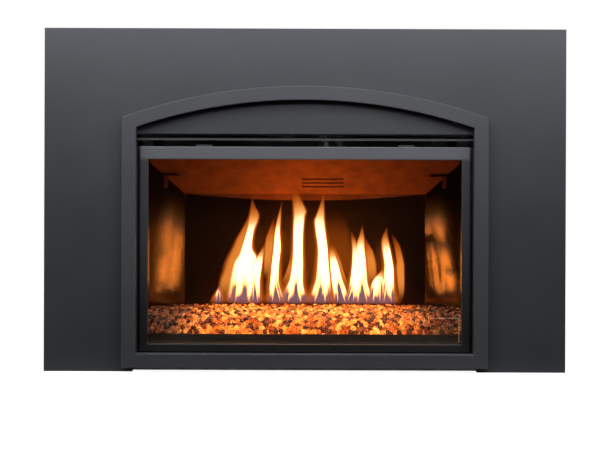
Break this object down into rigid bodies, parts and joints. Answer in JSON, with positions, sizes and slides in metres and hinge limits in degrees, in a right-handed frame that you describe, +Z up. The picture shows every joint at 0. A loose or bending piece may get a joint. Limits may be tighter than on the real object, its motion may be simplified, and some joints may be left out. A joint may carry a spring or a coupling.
{
  "type": "gas fireplace insert",
  "caption": "Wide gas fireplace insert with a flat steel surround, arched face frame, hook-on glass door, dark lined firebox, fire-glass burner, blower and top flue collars.",
  "frame": {"origin": "on the hearth plane, centred on the width, in the wall plane that the back edges of the surround meet", "axes": "+X to the viewer's right, +Y back into the chimney opening, +Z up; the front faces -Y"},
  "size_m": [1.044, 0.379, 0.687],
  "materials": {
    "charcoal_coat": "satin",
    "black_steel": "matte",
    "scorched_steel": "matte",
    "fence_coat": "satin",
    "magnet": "satin",
    "clear_glass": "gloss",
    "rope": "matte",
    "spring_steel": "satin",
    "galvanised": "spangled",
    "black_enamel": "gloss",
    "amber_glass": "gloss",
    "brass": "satin",
    "aluminium_tube": "satin",
    "aluminium_collar": "brushed",
    "cast_aluminium": "cast",
    "pilot_steel": "satin",
    "white_ceramic": "matte",
    "zinc_screw": "satin",
    "black_plastic": "matte",
    "grey_plastic": "matte",
    "motor_paint": "satin"
  },
  "bodies": {
    "insert": {"surround_panel": "charcoal_coat", "door_catches": "spring_steel", "firebox_face": "black_steel", "firebox_wrap": "galvanised", "firebox_floor": "black_steel", "firebox_top": "galvanised", "liner_back": "black_enamel", "liner_corner_left": "black_enamel", "liner_corner_right": "black_enamel", "liner_side_left": "black_enamel", "liner_side_right": "black_enamel", "ceiling_baffle": "scorched_steel", "panel_clips": "black_steel", "media_tray": "scorched_steel", "media_fence": "fence_coat", "glass_retainer": "clear_glass", "fire_glass_bed": "amber_glass", "burner_box": "scorched_steel", "venturi": "galvanised", "orifice": "brass", "manifold_tube": "aluminium_tube", "pilot_burner": "pilot_steel", "pilot_tube": "aluminium_tube", "spark_electrode": "white_ceramic", "flame_sensor": "white_ceramic", "casing_base": "galvanised", "casing_wrap": "galvanised", "casing_lid": "galvanised", "surround_brackets": "galvanised", "casing_screws": "zinc_screw", "outlet_louvre": "black_steel", "intake_duct": "galvanised", "exhaust_collar": "aluminium_collar", "intake_collar": "aluminium_collar", "gas_panel": "black_steel", "gas_valve": "cast_aluminium", "gas_inlet": "brass", "supply_tube": "aluminium_tube", "electric_panel": "black_steel", "switch_body": "black_plastic", "speed_control": "grey_plastic", "ignition_module": "grey_plastic", "junction_box": "galvanised", "blower_scroll": "galvanised", "blower_end_plates": "galvanised", "blower_motor": "motor_paint"},
    "face": {"arched_face": "charcoal_coat", "face_magnets": "magnet"},
    "door": {"door_frame": "charcoal_coat", "door_glass": "clear_glass", "door_gasket": "rope", "door_hooks": "black_steel"},
    "gas_knob_body": {"gas_knob": "black_plastic"},
    "flame_knob_body": {"flame_knob": "black_plastic"},
    "speed_knob_body": {"speed_knob": "black_plastic"},
    "rocker_body": {"rocker": "black_plastic"},
    "shutter": {"air_shutter": "spring_steel"},
    "restrictor": {"flue_restrictor": "spring_steel"},
    "rotor": {"blower_rotor": "cast_aluminium", "rotor_shaft": "spring_steel"}
  },
  "joints": [
    {"name": "face_pull", "type": "slide", "parent": "insert", "child": "face", "axis": [0, -1, 0], "range_m": [0, 0.25]},
    {"name": "door_swing", "type": "hinge", "parent": "insert", "child": "door", "pos_m": [0, -0.003, 0.45], "axis": [-1, 0, 0], "range_deg": [0, 12]},
    {"name": "gas_knob_turn", "type": "hinge", "parent": "insert", "child": "gas_knob_body", "pos_m": [-0.295, -0.005, 0.021], "axis": [0, -1, 0], "range_deg": [0, 90]},
    {"name": "flame_knob_turn", "type": "hinge", "parent": "insert", "child": "flame_knob_body", "pos_m": [-0.245, -0.005, 0.021], "axis": [0, -1, 0], "range_deg": [0, 90]},
    {"name": "speed_knob_turn", "type": "hinge", "parent": "insert", "child": "speed_knob_body", "pos_m": [0.245, -0.005, 0.021], "axis": [0, -1, 0], "range_deg": [-270, 0]},
    {"name": "rocker_tilt", "type": "hinge", "parent": "insert", "child": "rocker_body", "pos_m": [0.295, 0.008, 0.021], "axis": [1, 0, 0], "range_deg": [-7, 7]},
    {"name": "shutter_turn", "type": "hinge", "parent": "insert", "child": "shutter", "pos_m": [-0.261, 0.165, 0.072], "axis": [1, 0, 0], "range_deg": [-20, 20]},
    {"name": "restrictor_slide", "type": "slide", "parent": "insert", "child": "restrictor", "axis": [1, 0, 0], "range_m": [0, 0.03]},
    {"name": "rotor_spin", "type": "hinge", "parent": "insert", "child": "rotor", "pos_m": [0.095, 0.308, 0.028], "axis": [1, 0, 0], "continuous": true}
  ]
}
